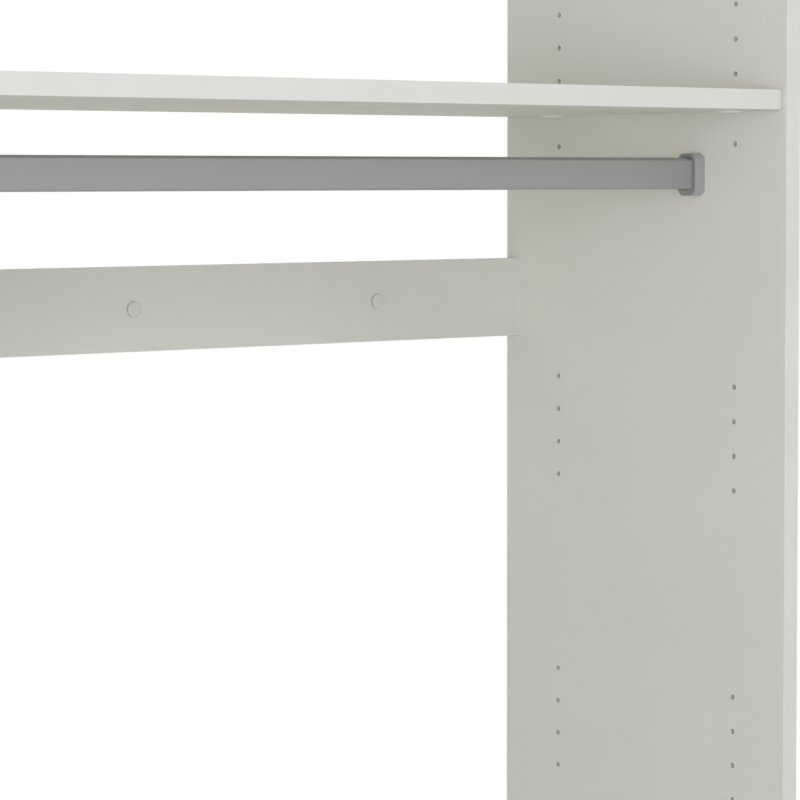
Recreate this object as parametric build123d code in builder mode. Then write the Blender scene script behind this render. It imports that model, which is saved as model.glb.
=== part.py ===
from build123d import *
import os

# One bay of a wall mounted closet: two side panels, two rails screwed to the wall, a hanging rod and an
# adjustable shelf. X runs to the right, Y towards the wall and Z up. The origin is on the wall, at the upper
# rail's middle screw hole. All sizes are in millimetres.

# Bay and boards
bay_width = 948.0
panel_height = 1219.0
panel_depth = 370.0
board = 18.0
band = 1.0
band_rounding = 0.4
band_joint = 0.05

# Shelf holes in the panels' inner faces
hole_pitch = 32.0
hole_radius = 2.5
hole_depth = 12.0
front_column_setback = 63.0
rear_column_setback = 74.0
end_hole_margin = 33.5
end_group_rows = 6
middle_group_rows = 4
middle_group_first_pitch = 3

# Rails and the wall screw holes in them
rail_height = 76.5
upper_rail_drop = 341.2
lower_rail_rise = 102.0
wall_screw_spacing = 288.0
wall_screw_sides = (-1, 0, 1)
wall_screw_hole_radius = 2.5
wall_screw_sink_radius = 4.4

# Snap caps over the wall screws
washer_radius = 6.1
washer_bore_radius = 4.7
washer_thickness = 1.2
cap_snap_gap = 0.3
cap_wall = 0.65
cap_height = 2.6
cap_face = 0.7
cap_rounding = 1.0

# Fittings between the rails and the panels
cam_setback = 24.0
cam_radius = 7.4
cam_thickness = 12.0
cam_recess_length = 7.0
cam_recess_width = 1.4
cam_recess_depth = 2.5
cam_bolt_thread_radius = 2.45
cam_bolt_thread_length = 11.0
cam_bolt_shank_radius = 3.2
cam_bolt_neck_radius = 1.8
cam_bolt_neck_length = 4.0
cam_bolt_head_radius = 3.2
cam_bolt_head_length = 2.6
cam_channel_gap = 0.3
dowel_radius = 4.0
dowel_spacing = 44.0
dowel_in_panel = 12.0
dowel_in_rail = 18.0
dowel_chamfer = 0.8
bore_end_gap = 0.5
fit_gap = 0.05

# Shelf, its pins and its sockets
shelf_pin_row = 4
shelf_end_gap = 0.5
shelf_front_setback = 5.0
shelf_back_gap = 5.0
pin_above_underside = 1.7
pin_radius = 2.45
pin_in_panel = 11.0
pin_projection = 9.5
pin_chamfer = 0.5
socket_setback = 6.0
socket_radius = 10.0
socket_depth = 13.0
flange_radius = 12.0
flange_thickness = 2.0
flange_rounding = 0.8
socket_end_gap = 0.2
slot_gap = 0.3

# Hanging rod and its closed ring brackets
rod_drop = 58.8
rod_from_wall = 258.0
rod_width = 15.0
rod_height = 29.0
rod_corner = 4.0
rod_wall = 1.2
rod_end_gap = 0.8
ring_depth = 12.9
ring_base = 2.5
ring_gap = 0.4
ring_side_wall = 3.2
ring_top_wall = 3.7
ring_bottom_wall = 5.7
ring_corner = 7.0
lip_rounding = 0.5
bracket_screw_spacing = 15.0
bracket_screw_radius = 1.7
bracket_screw_length = 13.0
bracket_screw_head_radius = 3.3
bracket_screw_head_height = 1.8
bracket_recess_length = 3.2
bracket_recess_width = 0.8
bracket_recess_depth = 1.0

# How far a cut runs past the face that it opens
overrun = 2.0

# Places worked out from the sizes above
half_bay = bay_width / 2
panel_top = upper_rail_drop
panel_bottom = panel_top - panel_height
panel_middle = panel_top - panel_height / 2
upper_rail_z = 0
lower_rail_z = panel_bottom + lower_rail_rise
rail_levels = (upper_rail_z, lower_rail_z)
column_places = (front_column_setback - panel_depth, -rear_column_setback)
top_hole_z = panel_top - end_hole_margin
bottom_hole_z = panel_bottom + end_hole_margin
pin_z = top_hole_z - shelf_pin_row * hole_pitch
shelf_underside = pin_z - pin_above_underside
shelf_length = bay_width - 2 * shelf_end_gap
shelf_depth = panel_depth - shelf_front_setback - shelf_back_gap
shelf_middle_y = -shelf_back_gap - shelf_depth / 2
rod_y = -rod_from_wall
rod_z = pin_z - rod_drop
rod_length = bay_width - 2 * (ring_base + rod_end_gap)
rail_screw_places = [side * wall_screw_spacing for side in wall_screw_sides]


def inner_face(y, z, shift=0):
    """A plane on the left panel's inner face at a point, looking into the bay, with its own Y axis up."""
    return Plane(origin=(shift - half_bay, y, z), x_dir=(0, 1, 0), z_dir=(1, 0, 0))


def rail_end(side, z):
    """A plane on the middle of a rail's end, looking out of it: side is -1 for the left end, 1 for the right."""
    return Plane(origin=(side * half_bay, -board / 2, z), x_dir=(0, 1, 0), z_dir=(side, 0, 0))


def mirrored(piece):
    """The right-hand twin of a left-hand piece."""
    with BuildPart() as twin:
        mirror(piece.part, about=Plane.YZ)
    return twin


def shelf_hole_heights():
    """Heights of all rows: a group at each end of the panel and one above and one below its middle."""
    rows = [top_hole_z - row * hole_pitch for row in range(end_group_rows)]
    rows += [bottom_hole_z + row * hole_pitch for row in range(end_group_rows)]
    for row in range(middle_group_rows):
        reach = (middle_group_first_pitch + row) * hole_pitch
        rows += [panel_middle + reach, panel_middle - reach]
    return rows


# Left side panel, with its shelf holes, rail fitting holes and bracket screw holes
with BuildPart() as left_side_panel:
    with BuildSketch(inner_face(-panel_depth / 2, panel_middle)):
        Rectangle(panel_depth - 2 * band, panel_height - 2 * band)
    extrude(amount=-board)
    for y in column_places:
        for z in shelf_hole_heights():
            with Locations(inner_face(y, z)):
                Hole(hole_radius, hole_depth)
    for z in rail_levels:
        with Locations(inner_face(-board / 2, z)):
            Hole(cam_bolt_thread_radius + fit_gap, cam_bolt_thread_length + bore_end_gap)
            with GridLocations(0, dowel_spacing, 1, 2):
                Hole(dowel_radius + fit_gap, dowel_in_panel + bore_end_gap)
    with Locations(inner_face(rod_y, rod_z)):
        with GridLocations(0, bracket_screw_spacing, 1, 2):
            Hole(bracket_screw_radius + fit_gap, bracket_screw_length + bore_end_gap)

right_side_panel = mirrored(left_side_panel)


# Left panel's edge bands: front and back strips over the full height, top and bottom strips between them
with BuildPart() as left_panel_edge_bands:
    cross_length = panel_depth - 2 * (band + band_joint)
    with BuildSketch(inner_face(-panel_depth / 2, panel_middle)):
        with GridLocations(panel_depth - band, 0, 2, 1):
            Rectangle(band, panel_height)
        with GridLocations(0, panel_height - band, 1, 2):
            Rectangle(cross_length, band)
    extrude(amount=-board)
    long_edges = left_panel_edge_bands.edges().filter_by(Axis.Z)
    fillet(long_edges.group_by(Axis.Y)[0] + long_edges.group_by(Axis.Y)[-1], band_rounding)

right_panel_edge_bands = mirrored(left_panel_edge_bands)


def hang_rail(z):
    """A rail board with its wall screw holes, and the bores for its cams, cam bolts and dowels."""
    with BuildPart() as rail:
        with BuildSketch(Plane.XZ):
            with Locations((0, z)):
                Rectangle(bay_width, rail_height - 2 * band)
        extrude(amount=board)
        with Locations(Plane.XZ.offset(board)):
            with Locations(*[(x, z) for x in rail_screw_places]):
                CounterSinkHole(wall_screw_hole_radius, wall_screw_sink_radius)
        with BuildSketch(Plane.XZ):
            with Locations((cam_setback - half_bay, z), (half_bay - cam_setback, z)):
                Circle(cam_radius + fit_gap)
        extrude(amount=cam_thickness + bore_end_gap, mode=Mode.SUBTRACT)
        for side in (-1, 1):
            with Locations(rail_end(side, z)):
                Hole(cam_bolt_shank_radius + cam_channel_gap, cam_setback)
                with GridLocations(0, dowel_spacing, 1, 2):
                    Hole(dowel_radius + fit_gap, dowel_in_rail + bore_end_gap)
    return rail


upper_hang_rail = hang_rail(upper_rail_z)
lower_hang_rail = hang_rail(lower_rail_z)


def rail_edge_bands(z):
    """The two strips on a rail's top and bottom edges."""
    with BuildPart() as bands:
        with BuildSketch(Plane.XZ):
            with Locations((0, z)):
                with GridLocations(0, rail_height - band, 1, 2):
                    Rectangle(bay_width, band)
        extrude(amount=board)
        front_edges = bands.edges().filter_by(Axis.X).group_by(Axis.Y)[0]
        fillet(front_edges.group_by(Axis.Z)[0] + front_edges.group_by(Axis.Z)[-1], band_rounding)
    return bands


upper_rail_edge_bands = rail_edge_bands(upper_rail_z)
lower_rail_edge_bands = rail_edge_bands(lower_rail_z)


# Cam bolts: threaded into the panel, with a shank, a neck and a head that the cam grips
with BuildPart() as cam_bolts:
    bolt_reach = cam_setback + cam_bolt_head_length / 2
    neck_start = bolt_reach - cam_bolt_head_length - cam_bolt_neck_length
    for z in rail_levels:
        with BuildSketch(inner_face(-board / 2, z, -cam_bolt_thread_length)):
            Circle(cam_bolt_thread_radius)
        extrude(amount=cam_bolt_thread_length)
        with BuildSketch(inner_face(-board / 2, z)):
            Circle(cam_bolt_shank_radius)
        extrude(amount=neck_start)
        with BuildSketch(inner_face(-board / 2, z, neck_start)):
            Circle(cam_bolt_neck_radius)
        extrude(amount=cam_bolt_neck_length)
        with BuildSketch(inner_face(-board / 2, z, neck_start + cam_bolt_neck_length)):
            Circle(cam_bolt_head_radius)
        extrude(amount=cam_bolt_head_length)
    mirror(about=Plane.YZ)


# Cam locks: round barrels in the rails' rear faces, each with a channel for its bolt and a cross recess
with BuildPart() as cam_locks:
    channel_half = cam_bolt_head_radius + cam_channel_gap
    channel_length = cam_radius + cam_bolt_head_length + overrun
    channel_start = cam_setback - cam_radius - overrun - half_bay
    for z in rail_levels:
        with BuildSketch(Plane.XZ.offset(bore_end_gap)):
            with Locations((cam_setback - half_bay, z)):
                Circle(cam_radius)
        extrude(amount=cam_thickness)
        with BuildSketch(Plane.XZ.offset(board / 2 - channel_half)):
            with Locations((channel_start, z)):
                Rectangle(channel_length, 2 * channel_half, align=(Align.MIN, Align.CENTER))
        extrude(amount=board, mode=Mode.SUBTRACT)
        with BuildSketch(Plane.XZ.offset(bore_end_gap)):
            with Locations((cam_setback - half_bay, z)):
                Rectangle(cam_recess_length, cam_recess_width)
                Rectangle(cam_recess_width, cam_recess_length)
        extrude(amount=cam_recess_depth, mode=Mode.SUBTRACT)
    mirror(about=Plane.YZ)


# Wooden dowels, two at each end of each rail
with BuildPart() as rail_dowels:
    for z in rail_levels:
        with BuildSketch(inner_face(-board / 2, z, -dowel_in_panel)):
            with GridLocations(0, dowel_spacing, 1, 2):
                Circle(dowel_radius)
        extrude(amount=dowel_in_panel + dowel_in_rail)
    chamfer(rail_dowels.edges().filter_by(GeomType.CIRCLE), dowel_chamfer)
    mirror(about=Plane.YZ)


# Washers that seat the wall screws' heads
with BuildPart() as cap_washers:
    with BuildSketch(Plane.XZ.offset(board)):
        with Locations(*[(x, z) for z in rail_levels for x in rail_screw_places]):
            Circle(washer_radius)
            Circle(washer_bore_radius, mode=Mode.SUBTRACT)
    extrude(amount=washer_thickness)


def screw_cap(x, z):
    """A snap cap: a shallow round cup over the washer, with a softened front edge."""
    with BuildPart() as cap:
        with BuildSketch(Plane.XZ.offset(board)):
            with Locations((x, z)):
                Circle(washer_radius + cap_snap_gap + cap_wall)
        extrude(amount=cap_height)
        fillet(cap.faces().sort_by(Axis.Y)[0].edges(), cap_rounding)
        with BuildSketch(Plane.XZ.offset(board)):
            with Locations((x, z)):
                Circle(washer_radius + cap_snap_gap)
        extrude(amount=cap_height - cap_face, mode=Mode.SUBTRACT)
    return cap


# Adjustable shelf board, bored from below at each corner for its sockets
socket_x = socket_setback - shelf_length / 2
socket_places = [(x, y) for x in (socket_x, -socket_x) for y in column_places]
with BuildPart() as adjustable_shelf:
    with BuildSketch(Plane.XY.offset(shelf_underside)):
        with Locations((0, shelf_middle_y)):
            Rectangle(shelf_length, shelf_depth - 2 * band)
    extrude(amount=board)
    with BuildSketch(Plane.XY.offset(shelf_underside)):
        with Locations(*socket_places):
            Circle(socket_radius + fit_gap)
    extrude(amount=socket_depth + bore_end_gap, mode=Mode.SUBTRACT)


# Strips on the shelf's front and back edges
with BuildPart() as shelf_edge_bands:
    with BuildSketch(Plane.XY.offset(shelf_underside)):
        with Locations((0, shelf_middle_y)):
            with GridLocations(0, shelf_depth - band, 1, 2):
                Rectangle(shelf_length, band)
    extrude(amount=board)
    long_edges = shelf_edge_bands.edges().filter_by(Axis.X)
    fillet(long_edges.group_by(Axis.Y)[0] + long_edges.group_by(Axis.Y)[-1], band_rounding)


# Shelf sockets: flanged plastic barrels cut flat at the shelf's end, with a slot that drops over the pin
with BuildPart() as shelf_sockets:
    left_places = [(socket_x, y) for y in column_places]
    with BuildSketch(Plane.XY.offset(shelf_underside - flange_thickness)):
        with Locations(*left_places):
            Circle(flange_radius)
    extrude(amount=flange_thickness)
    rims = shelf_sockets.edges().filter_by(GeomType.CIRCLE).group_by(Axis.Z)[0]
    fillet(rims, flange_rounding)
    with BuildSketch(Plane.XY.offset(shelf_underside)):
        with Locations(*left_places):
            Circle(socket_radius)
    extrude(amount=socket_depth)
    split(bisect_by=Plane.YZ.offset(socket_end_gap - shelf_length / 2), keep=Keep.TOP)
    for y in column_places:
        with BuildSketch(inner_face(y, pin_z)):
            slot_half = pin_radius + slot_gap
            Circle(slot_half)
            Rectangle(2 * slot_half, flange_radius, align=(Align.CENTER, Align.MAX))
        extrude(amount=pin_projection + bore_end_gap, mode=Mode.SUBTRACT)
    mirror(about=Plane.YZ)


# Steel pins in the panels' holes, which carry the shelf
with BuildPart() as shelf_pins:
    for y in column_places:
        with BuildSketch(inner_face(y, pin_z, -pin_in_panel)):
            Circle(pin_radius)
        extrude(amount=pin_in_panel + pin_projection)
    chamfer(shelf_pins.edges().filter_by(GeomType.CIRCLE), pin_chamfer)
    mirror(about=Plane.YZ)


# Hanging rod: a tube of rounded rectangular section
with BuildPart() as closet_rod:
    with BuildSketch(Plane.YZ.offset(-rod_length / 2)):
        with Locations((rod_y, rod_z)):
            RectangleRounded(rod_width, rod_height, rod_corner)
            inner_corner = rod_corner - rod_wall
            RectangleRounded(
                rod_width - 2 * rod_wall, rod_height - 2 * rod_wall, inner_corner, mode=Mode.SUBTRACT
            )
    extrude(amount=rod_length)


# Left rod bracket: a closed ring with a base, screwed to the panel inside the ring
opening_width = rod_width + 2 * ring_gap
opening_height = rod_height + 2 * ring_gap
ring_height = opening_height + ring_top_wall + ring_bottom_wall
with BuildPart() as left_rod_bracket:
    with BuildSketch(inner_face(rod_y, rod_z)):
        with Locations((0, (ring_top_wall - ring_bottom_wall) / 2)):
            RectangleRounded(opening_width + 2 * ring_side_wall, ring_height, ring_corner)
    extrude(amount=ring_depth)
    fillet(left_rod_bracket.faces().sort_by(Axis.X)[-1].edges(), lip_rounding)
    with BuildSketch(inner_face(rod_y, rod_z, ring_base)):
        RectangleRounded(opening_width, opening_height, rod_corner + ring_gap)
    extrude(amount=ring_depth, mode=Mode.SUBTRACT)
    with Locations(inner_face(rod_y, rod_z, ring_base)):
        with GridLocations(0, bracket_screw_spacing, 1, 2):
            CounterSinkHole(bracket_screw_radius + fit_gap, bracket_screw_head_radius + fit_gap)

right_rod_bracket = mirrored(left_rod_bracket)


# Countersunk screws that hold the brackets, with a cross recess
with BuildPart() as rod_bracket_screws:
    with BuildSketch(inner_face(rod_y, rod_z, -bracket_screw_length)):
        with GridLocations(0, bracket_screw_spacing, 1, 2):
            Circle(bracket_screw_radius)
    extrude(amount=bracket_screw_length + ring_base)
    for z in (rod_z - bracket_screw_spacing / 2, rod_z + bracket_screw_spacing / 2):
        with BuildSketch(inner_face(rod_y, z, ring_base - bracket_screw_head_height)):
            Circle(bracket_screw_radius)
        with BuildSketch(inner_face(rod_y, z, ring_base)):
            Circle(bracket_screw_head_radius)
        loft()
    with BuildSketch(inner_face(rod_y, rod_z, ring_base)):
        with GridLocations(0, bracket_screw_spacing, 1, 2):
            Rectangle(bracket_recess_length, bracket_recess_width)
            Rectangle(bracket_recess_width, bracket_recess_length)
    extrude(amount=-bracket_recess_depth, mode=Mode.SUBTRACT)
    mirror(about=Plane.YZ)


pieces = {
    "left_side_panel": left_side_panel,
    "right_side_panel": right_side_panel,
    "left_panel_edge_bands": left_panel_edge_bands,
    "right_panel_edge_bands": right_panel_edge_bands,
    "upper_hang_rail": upper_hang_rail,
    "lower_hang_rail": lower_hang_rail,
    "upper_rail_edge_bands": upper_rail_edge_bands,
    "lower_rail_edge_bands": lower_rail_edge_bands,
    "cam_bolts": cam_bolts,
    "cam_locks": cam_locks,
    "rail_dowels": rail_dowels,
    "cap_washers": cap_washers,
    "adjustable_shelf": adjustable_shelf,
    "shelf_edge_bands": shelf_edge_bands,
    "shelf_sockets": shelf_sockets,
    "shelf_pins": shelf_pins,
    "closet_rod": closet_rod,
    "left_rod_bracket": left_rod_bracket,
    "right_rod_bracket": right_rod_bracket,
    "rod_bracket_screws": rod_bracket_screws,
}
for level, z in (("upper", upper_rail_z), ("lower", lower_rail_z)):
    for place, x in zip(("left", "middle", "right"), rail_screw_places):
        pieces[f"{level}_screw_cap_{place}"] = screw_cap(x, z)

os.makedirs("parts", exist_ok=True)
for name, piece in pieces.items():
    piece.part.label = name
    export_step(piece.part, f"parts/{name}.step")
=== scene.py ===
import math

import bmesh
import bpy
from mathutils import Matrix, Vector


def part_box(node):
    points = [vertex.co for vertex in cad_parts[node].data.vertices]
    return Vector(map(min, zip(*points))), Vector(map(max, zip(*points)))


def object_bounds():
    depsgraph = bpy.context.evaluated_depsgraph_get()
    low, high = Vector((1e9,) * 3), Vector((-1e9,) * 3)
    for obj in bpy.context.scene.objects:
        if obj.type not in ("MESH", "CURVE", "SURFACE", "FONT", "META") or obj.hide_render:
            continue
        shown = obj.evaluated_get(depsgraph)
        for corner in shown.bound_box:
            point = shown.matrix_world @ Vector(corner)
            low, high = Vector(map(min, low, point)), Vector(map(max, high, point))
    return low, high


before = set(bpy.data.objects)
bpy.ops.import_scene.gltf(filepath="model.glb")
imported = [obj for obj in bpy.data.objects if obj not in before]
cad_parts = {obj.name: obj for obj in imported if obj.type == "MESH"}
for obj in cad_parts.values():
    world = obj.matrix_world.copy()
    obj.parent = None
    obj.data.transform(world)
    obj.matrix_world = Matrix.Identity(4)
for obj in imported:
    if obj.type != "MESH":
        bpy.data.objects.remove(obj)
cad_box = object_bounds()

# Looks of a wall mounted closet bay: melamine boards, an oval rod in ring brackets, plastic caps and
# sockets. Lengths are in metres, in the model's own frame: X to the right, Y towards the wall, Z up.
MM = 0.001

# The photograph's camera, close to level, with a long lens; angles are in degrees
PHOTO_SIDE = 800
FOCAL_PIXELS = 3171.6
SENSOR_WIDTH = 36.0
CAMERA_SHIFT = (0.15, -0.055)
CAMERA_PLACE = (-1.6808, -2.3220, 0.1107)
CAMERA_YAW = 38.761
CAMERA_PITCH = -3.074
CAMERA_ROLL = 0.175
CAMERA_REACH = 100.0

# The floor lies just under the panels' feet. To the camera it is partly white up to the first of
# these radii, where it keeps the shadow, and all white from the second.
FLOOR_GAP = 0.5 * MM
FLOOR_RADIUS = 9.0
FLOOR_SIDES = 96
FLOOR_SHADOW_RADIUS = 0.9
FLOOR_WHITE_RADIUS = 2.3
FLOOR_WHITE_SHARE = 0.6

# Lamps: place, width, power in watts and colour
LAMP_AIM = (0.1, -0.18, 0.0)
LAMPS = {
    "front_left": ((-1.8, -3.8, 0.3), 2.4, 34.8, (0.86, 0.85, 1.00)),
    "front_high_right": ((2.4, -3.6, 2.4), 2.4, 64.1, (0.96, 0.99, 1.00)),
    "front_high_left": ((-2.4, -3.6, 2.4), 2.4, 12.5, (0.83, 0.85, 1.00)),
    "left": ((-2.0, -1.9, 0.1), 1.0, 13.7, (0.90, 0.90, 1.00)),
}

# Soft light from the room around: the direction that each part of it comes from, and its colour
ROOM_LIGHT = (
    ((1, 0, 0), (1.14, 1.18, 1.14)),
    ((1, 1, 0), (1.66, 1.59, 1.42)),
    ((-1, 0, 0), (1.08, 1.08, 1.02)),
    ((0, 0, 1), (0.31, 0.32, 0.26)),
)
ROOM_LIGHT_FALLOFF = 3.0

# Nearly all values of a noise texture lie between these two
NOISE_LOW = 0.3
NOISE_HIGH = 0.7

# Depth of the melamine on a board's faces, and of the pale rim in the panels' drilled holes
MELAMINE_SKIN = 0.2 * MM
DRILLED_RIM = 3.2 * MM

# Painted shade on a cap's side, in its crease at the rail: full up to one height over the rail's face,
# gone at the next
CAP_SHADE_HEIGHTS = (1.4 * MM, 2.4 * MM)

# Painted shade along the rod's top, made by turning it metallic: it begins at one depth below the top
# and is full at the next
ROD_TOP_SHADE_DEPTHS = (3.4 * MM, 2.4 * MM)

# Painted shade on a bracket ring's end face: full up to one depth, the grey paint from the next
RING_END_SHADE_DEPTHS = (0.1 * MM, 0.3 * MM)


def srgb(red, green, blue):
    """A colour written as 0 to 255 on the screen, as linear values with alpha."""
    linear = [((c / 255 + 0.055) / 1.055) ** 2.4 for c in (red, green, blue)]
    return (*linear, 1.0)


# Colours of the finishes, each from its darker to its lighter shade
LAMINATE = (srgb(225, 225, 215), srgb(229, 229, 220))
CORE = (srgb(228, 228, 206), srgb(240, 240, 224))
BAND = (srgb(226, 226, 217), srgb(230, 230, 222))
CAP = (srgb(222, 222, 212), srgb(227, 227, 218))
SOCKET = (srgb(236, 236, 228), srgb(240, 240, 233))
ROD = (srgb(165, 167, 164), srgb(168, 170, 168))
BRACKET = (srgb(175, 177, 174), srgb(181, 183, 181))
# Painted shade for a bracket ring's end face
RING_END_SHADE_COLOURS = (srgb(140, 142, 138), srgb(150, 152, 148))
ZINC = (srgb(182, 185, 188), srgb(205, 207, 206))
CAST_ZINC = (srgb(148, 149, 149), srgb(176, 177, 176))
BEECH = (srgb(186, 146, 102), srgb(214, 180, 138))
# Painted shade for a cap's foot, in its crease at the rail
CAP_CREASE_SHADE = srgb(184, 184, 166)
FLOOR_COLOUR = srgb(221, 221, 218)
WHITE = (1.0, 1.0, 1.0, 1.0)

# The type of socket that each kind of mix works with
MIX_SOCKETS = {"FLOAT": "VALUE", "VECTOR": "VECTOR", "RGBA": "RGBA"}


class Nodes:
    """A node tree and short ways to add to it. An input takes a value or another node's output."""

    def __init__(self, tree):
        self.tree = tree

    def add(self, kind, **settings):
        """A new node with its settings."""
        made = self.tree.nodes.new(kind)
        for name, value in settings.items():
            setattr(made, name, value)
        return made

    def put(self, socket, value):
        """Sets an input to a value, or links it to an output."""
        if isinstance(value, bpy.types.NodeSocket):
            self.tree.links.new(value, socket)
        else:
            socket.default_value = value

    def math(self, operation, first, second=0.0):
        """A calculation with one or two numbers."""
        made = self.add("ShaderNodeMath", operation=operation)
        self.put(made.inputs[0], first)
        self.put(made.inputs[1], second)
        return made.outputs[0]

    def vector_math(self, operation, first, second=None):
        """A calculation with one or two vectors, or with a vector and a number where it is SCALE."""
        made = self.add("ShaderNodeVectorMath", operation=operation)
        self.put(made.inputs[0], first)
        if operation == "SCALE":
            self.put(made.inputs["Scale"], second)
        elif second is not None:
            self.put(made.inputs[1], second)
        gives_number = operation in ("DOT_PRODUCT", "LENGTH")
        return made.outputs["Value" if gives_number else "Vector"]

    def ranged(self, value, low, high, start=NOISE_LOW, end=NOISE_HIGH, shape="LINEAR"):
        """Goes from low to high while a value goes from start to end, and holds there."""
        made = self.add("ShaderNodeMapRange", interpolation_type=shape)
        inputs = {"Value": value, "From Min": start, "From Max": end, "To Min": low, "To Max": high}
        for name, given in inputs.items():
            self.put(made.inputs[name], given)
        return made.outputs["Result"]

    def mixed(self, factor, first, second, kind="RGBA"):
        """Goes from the first to the second while the factor goes from 0 to 1."""
        made = self.add("ShaderNodeMix", data_type=kind)
        self.put(made.inputs["Factor"], factor)
        ends = [socket for socket in made.inputs if socket.type == MIX_SOCKETS[kind]]
        self.put(ends[-2], first)
        self.put(ends[-1], second)
        return next(socket for socket in made.outputs if socket.enabled)


class Finish(Nodes):
    """A material under construction: its nodes, its shader and the point on the piece."""

    def __init__(self, name):
        self.material = bpy.data.materials.new(name)
        self.material.use_nodes = True
        super().__init__(self.material.node_tree)
        self.shader = self.tree.nodes["Principled BSDF"]
        self.place = self.add("ShaderNodeTexCoord").outputs["Object"]

    def set(self, **values):
        """Gives shader inputs a value or a link; an underscore stands for a space."""
        for name, value in values.items():
            self.put(self.shader.inputs[name.replace("_", " ")], value)

    def noise(self, size, detail=2.0, roughness=0.5):
        """Noise with features about one size across; size is a length or one for each axis."""
        sizes = size if isinstance(size, tuple) else (size, size, size)
        made = self.add("ShaderNodeTexNoise")
        self.put(made.inputs["Vector"], self.vector_math("DIVIDE", self.place, sizes))
        self.put(made.inputs["Scale"], 1.0)
        self.put(made.inputs["Detail"], detail)
        self.put(made.inputs["Roughness"], roughness)
        return made.outputs["Fac"]

    def cells(self, size):
        """Irregular cells: a random shade for each, and the distance from its middle."""
        sizes = (size, size, size)
        made = self.add("ShaderNodeTexVoronoi")
        self.put(made.inputs["Vector"], self.vector_math("DIVIDE", self.place, sizes))
        self.put(made.inputs["Scale"], 1.0)
        shade = self.add("ShaderNodeSeparateColor")
        self.put(shade.inputs[0], made.outputs["Color"])
        return shade.outputs[0], made.outputs["Distance"]

    def bump(self, height, distance):
        """Shades the surface as if it were raised by a height from 0 to 1 times a distance."""
        made = self.add("ShaderNodeBump")
        self.put(made.inputs["Height"], height)
        self.put(made.inputs["Distance"], distance)
        self.put(made.inputs["Strength"], 1.0)
        self.set(Normal=made.outputs["Normal"])

    def along(self, axis):
        """The distance from the origin along an axis."""
        split = self.add("ShaderNodeSeparateXYZ")
        self.put(split.inputs[0], self.place)
        return self.math("ABSOLUTE", split.outputs[axis])

    def between(self, axis, low, high):
        """1 where the distance from the origin along an axis lies between two values, otherwise 0."""
        along = self.along(axis)
        above = self.math("GREATER_THAN", along, low)
        below = self.math("LESS_THAN", along, high)
        return self.math("MULTIPLY", above, below)


def span(node, axis):
    """Where a CAD node begins and ends along an axis."""
    low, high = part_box(node)
    number = "XYZ".index(axis)
    return low[number], high[number]


def melamine(name, board, axis, skin=MELAMINE_SKIN):
    """White melamine on the two faces of a board that lie across an axis, and its core between them."""
    finish = Finish(name)
    low, high = sorted(abs(face) for face in span(board, axis))
    inside = finish.between(axis, low + skin, high - skin)
    mottle = finish.noise(120 * MM, detail=3.0)
    speckle = finish.noise(1.3 * MM)
    tone = finish.math("ADD", finish.ranged(mottle, 0.0, 0.6), finish.ranged(speckle, 0.0, 0.4))
    face_colour = finish.mixed(tone, *LAMINATE)
    face_roughness = finish.ranged(finish.noise(14 * MM), 0.50, 0.58)
    face_height = finish.math("MULTIPLY", finish.noise(0.9 * MM, detail=1.0), 0.06)
    chip_shade, chip_height = finish.cells(1.8 * MM)
    core_colour = finish.mixed(chip_shade, *CORE)
    finish.set(Base_Color=finish.mixed(inside, face_colour, core_colour))
    finish.set(Roughness=finish.mixed(inside, face_roughness, 0.9, "FLOAT"))
    finish.set(Specular_IOR_Level=0.12)
    finish.bump(finish.mixed(inside, face_height, chip_height, "FLOAT"), 0.35 * MM)
    return finish.material


def edge_band(name):
    """Plastic band glued on a board's edge: a little glossier, with the ripple of its trimming."""
    finish = Finish(name)
    tone = finish.ranged(finish.noise(60 * MM, detail=3.0), 0.0, 1.0)
    finish.set(Base_Color=finish.mixed(tone, *BAND))
    finish.set(Roughness=finish.ranged(finish.noise(8 * MM), 0.42, 0.52))
    finish.set(Specular_IOR_Level=0.2)
    ripple = finish.math("ADD", finish.noise(5 * MM, detail=0.0), finish.noise(0.7 * MM))
    finish.bump(ripple, 0.02 * MM)
    return finish.material


def satin_plastic(name, shades, dust_ends=None):
    """Moulded plastic with a fine eroded surface. Painted shade on it, darkest next to the wall,
    thins out between two distances from the wall, where these are given."""
    finish = Finish(name)
    tone = finish.ranged(finish.noise(6 * MM, detail=3.0), 0.0, 1.0)
    colour = finish.mixed(tone, *shades)
    if dust_ends:
        # Painted shade: darker towards the wall, in the crease at the cap's foot
        crease_shaded = finish.ranged(finish.along("Y"), 1.0, 0.0, *dust_ends)
        colour = finish.mixed(crease_shaded, colour, CAP_CREASE_SHADE)
    finish.set(Base_Color=colour)
    finish.set(Roughness=finish.ranged(finish.noise(1.5 * MM), 0.42, 0.54))
    finish.set(Specular_IOR_Level=0.12)
    finish.bump(finish.noise(0.25 * MM), 0.03 * MM)
    return finish.material


def satin_metal(name, top):
    """Satin painted tube with faint lines along its length, turned metallic along its top as painted
    shade.
    """
    finish = Finish(name)
    lines = finish.noise((180 * MM, 0.5 * MM, 0.5 * MM))
    bands = finish.noise((400 * MM, 6 * MM, 6 * MM))
    tone = finish.math("ADD", finish.ranged(lines, 0.0, 0.5), finish.ranged(bands, 0.0, 0.5))
    # Painted shade: the top turns metallic so that it renders darker
    top_shade_ends = [top - depth for depth in ROD_TOP_SHADE_DEPTHS]
    top_shaded = finish.ranged(finish.along("Z"), 0.0, 1.0, *top_shade_ends)
    finish.set(Base_Color=finish.mixed(tone, *ROD))
    finish.set(Metallic=finish.mixed(top_shaded, 0.0, 0.70, "FLOAT"))
    finish.set(Roughness=finish.ranged(lines, 0.34, 0.44))
    finish.set(Specular_IOR_Level=0.15)
    finish.bump(lines, 0.012 * MM)
    return finish.material


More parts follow.
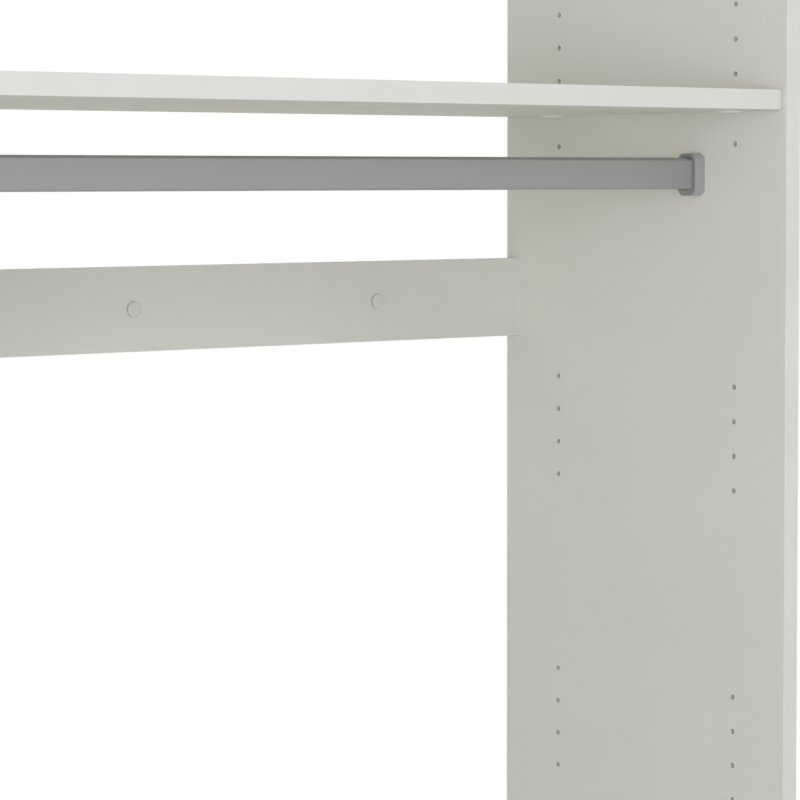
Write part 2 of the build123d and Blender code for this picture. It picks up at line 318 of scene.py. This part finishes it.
def cast_zinc(name):
    """Bare cast zinc with a pitted skin."""
    finish = Finish(name)
    tone = finish.ranged(finish.noise(7 * MM, detail=4.0), 0.0, 1.0)
    finish.set(Base_Color=finish.mixed(tone, *CAST_ZINC))
    finish.set(Metallic=1.0)
    finish.set(Roughness=finish.ranged(finish.noise(2.5 * MM), 0.4, 0.52))
    finish.bump(finish.noise(0.8 * MM), 0.03 * MM)
    return finish.material


def painted_casting(name, ring_end):
    """Satin grey painted casting, with painted shade on the ring's end, given from the bay's middle."""
    finish = Finish(name)
    tone = finish.ranged(finish.noise(7 * MM, detail=4.0), 0.0, 1.0)
    paint = finish.mixed(tone, *BRACKET)
    # Painted shade on the ring's end face, which looks into the bay
    end_shade_colour = finish.mixed(finish.ranged(finish.noise(0.7 * MM), 0.0, 1.0), *RING_END_SHADE_COLOURS)
    end_shade_ends = [ring_end + depth for depth in RING_END_SHADE_DEPTHS]
    end_shaded = finish.ranged(finish.along("X"), 1.0, 0.0, *end_shade_ends)
    finish.set(Base_Color=finish.mixed(end_shaded, paint, end_shade_colour))
    finish.set(Roughness=finish.ranged(finish.noise(2.5 * MM), 0.4, 0.52))
    finish.set(Specular_IOR_Level=0.12)
    finish.bump(finish.noise(0.6 * MM), 0.03 * MM)
    return finish.material


def zinc_plate(name):
    """Zinc plated steel: bright, with soft cloudy patches."""
    finish = Finish(name)
    clouds = finish.noise(3 * MM, detail=4.0, roughness=0.6)
    finish.set(Base_Color=finish.mixed(finish.ranged(clouds, 0.0, 1.0), *ZINC))
    finish.set(Metallic=1.0)
    finish.set(Roughness=finish.ranged(clouds, 0.24, 0.4))
    finish.bump(finish.noise(0.3 * MM), 0.01 * MM)
    return finish.material


def beech(name):
    """Beech dowel with short flecks along its length."""
    finish = Finish(name)
    grain = finish.noise((9 * MM, 0.6 * MM, 0.6 * MM), detail=3.0)
    finish.set(Base_Color=finish.mixed(finish.ranged(grain, 0.0, 1.0), *BEECH))
    finish.set(Roughness=0.7)
    finish.bump(grain, 0.05 * MM)
    return finish.material


def dress_nodes():
    """Gives each CAD node the first finish whose word its name holds."""
    zinc = zinc_plate("zinc_plated_steel")
    plastic = satin_plastic("plastic_white", SOCKET)
    rail_face = -span("upper_hang_rail", "Y")[0]
    # Where the painted shade at the caps' feet thins out, over the rail's face
    dust_ends = [rail_face + height for height in CAP_SHADE_HEIGHTS]
    finishes = {
        "edge_bands": edge_band("edge_band_white"),
        "screw_cap": satin_plastic("plastic_cap", CAP, dust_ends),
        "bracket_screws": zinc,
        "rod_bracket": painted_casting("cast_grey_satin", span("right_rod_bracket", "X")[0]),
        "side_panel": melamine("melamine_panel", "right_side_panel", "X", DRILLED_RIM),
        "hang_rail": melamine("melamine_rail", "upper_hang_rail", "Y"),
        "adjustable_shelf": melamine("melamine_shelf", "adjustable_shelf", "Z"),
        "closet_rod": satin_metal("rod_grey_satin", span("closet_rod", "Z")[1]),
        "cam_locks": cast_zinc("cast_zinc_bare"),
        "cam_bolts": zinc,
        "shelf_pins": zinc,
        "rail_dowels": beech("beech"),
        "shelf_sockets": plastic,
        "cap_washers": plastic,
    }
    for name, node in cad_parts.items():
        finish = next(material for word, material in finishes.items() if word in name)
        for slot in node.material_slots:
            slot.material = finish


def add_camera():
    """The photograph's viewing angle and lens."""
    data = bpy.data.cameras.new("camera")
    data.sensor_width = SENSOR_WIDTH
    data.lens = FOCAL_PIXELS / PHOTO_SIDE * SENSOR_WIDTH
    data.shift_x, data.shift_y = CAMERA_SHIFT
    data.clip_end = CAMERA_REACH
    camera = bpy.data.objects.new("camera", data)
    bpy.context.scene.collection.objects.link(camera)
    upright = Matrix.Rotation(math.radians(90 + CAMERA_PITCH), 4, "X")
    turned = Matrix.Rotation(math.radians(-CAMERA_YAW), 4, "Z")
    rolled = Matrix.Rotation(math.radians(-CAMERA_ROLL), 4, "Z")
    camera.matrix_world = Matrix.Translation(CAMERA_PLACE) @ turned @ upright @ rolled
    bpy.context.scene.camera = camera


def add_lamps():
    """Large soft lamps that face the bay."""
    for name, (place, width, power, colour) in LAMPS.items():
        data = bpy.data.lights.new(f"lamp_{name}", "AREA")
        data.shape = "DISK"
        data.size = width
        data.energy = power
        data.color = colour
        lamp = bpy.data.objects.new(f"lamp_{name}", data)
        lamp.location = place
        way = Vector(LAMP_AIM) - Vector(place)
        lamp.rotation_euler = way.to_track_quat("-Z", "Y").to_euler()
        lamp.visible_camera = False
        bpy.context.scene.collection.objects.link(lamp)


def seen_directly(nodes):
    """1 for what the camera, a reflection or glass sees, 0 for the rays that light surfaces."""
    path = nodes.add("ShaderNodeLightPath")
    seen = path.outputs["Is Camera Ray"]
    for name in ("Is Glossy Ray", "Is Transmission Ray"):
        seen = nodes.math("MAXIMUM", seen, path.outputs[name])
    return seen


def room_light(nodes):
    """Light from all around: each part is strongest along its direction and falls off to the sides."""
    place = nodes.add("ShaderNodeTexCoord").outputs["Generated"]
    parts = []
    for way, colour in ROOM_LIGHT:
        along = nodes.vector_math("DOT_PRODUCT", place, Vector(way).normalized())
        share = nodes.math("POWER", nodes.math("MAXIMUM", along, 0.0), ROOM_LIGHT_FALLOFF)
        parts.append(nodes.vector_math("SCALE", colour, share))
    total = parts[0]
    for part in parts[1:]:
        total = nodes.vector_math("ADD", total, part)
    return total


def add_world():
    """White background, and the room's soft light on every surface."""
    world = bpy.data.worlds.new("studio")
    world.use_nodes = True
    bpy.context.scene.world = world
    nodes = Nodes(world.node_tree)
    light = nodes.mixed(seen_directly(nodes), room_light(nodes), WHITE[:3], "VECTOR")
    nodes.put(nodes.tree.nodes["Background"].inputs["Color"], light)


def pale_floor(name):
    """Floor that keeps its own colour and shadow near the object and turns white further out."""
    finish = Finish(name)
    finish.set(Base_Color=FLOOR_COLOUR, Roughness=0.8, Specular_IOR_Level=0.1)
    reach = finish.vector_math("LENGTH", finish.place)
    radii = (FLOOR_SHADOW_RADIUS, FLOOR_WHITE_RADIUS)
    white = finish.ranged(reach, FLOOR_WHITE_SHARE, 1.0, *radii, shape="SMOOTHSTEP")
    glow = finish.add("ShaderNodeEmission")
    finish.put(glow.inputs["Color"], WHITE)
    surface = finish.add("ShaderNodeMixShader")
    finish.put(surface.inputs[0], finish.math("MULTIPLY", seen_directly(finish), white))
    finish.put(surface.inputs[1], finish.shader.outputs[0])
    finish.put(surface.inputs[2], glow.outputs[0])
    finish.put(finish.tree.nodes["Material Output"].inputs["Surface"], surface.outputs[0])
    return finish.material


def add_floor():
    """Round floor under the bay."""
    shape = bmesh.new()
    bmesh.ops.create_circle(shape, cap_ends=True, segments=FLOOR_SIDES, radius=FLOOR_RADIUS)
    mesh = bpy.data.meshes.new("floor")
    shape.to_mesh(mesh)
    shape.free()
    mesh.materials.append(pale_floor("floor_pale"))
    floor = bpy.data.objects.new("floor", mesh)
    middle = (cad_box[0] + cad_box[1]) / 2
    floor.location = (middle.x, middle.y, cad_box[0].z - FLOOR_GAP)
    bpy.context.scene.collection.objects.link(floor)


dress_nodes()
add_camera()
add_lamps()
add_world()
add_floor()
bpy.context.scene.view_settings.view_transform = "Standard"
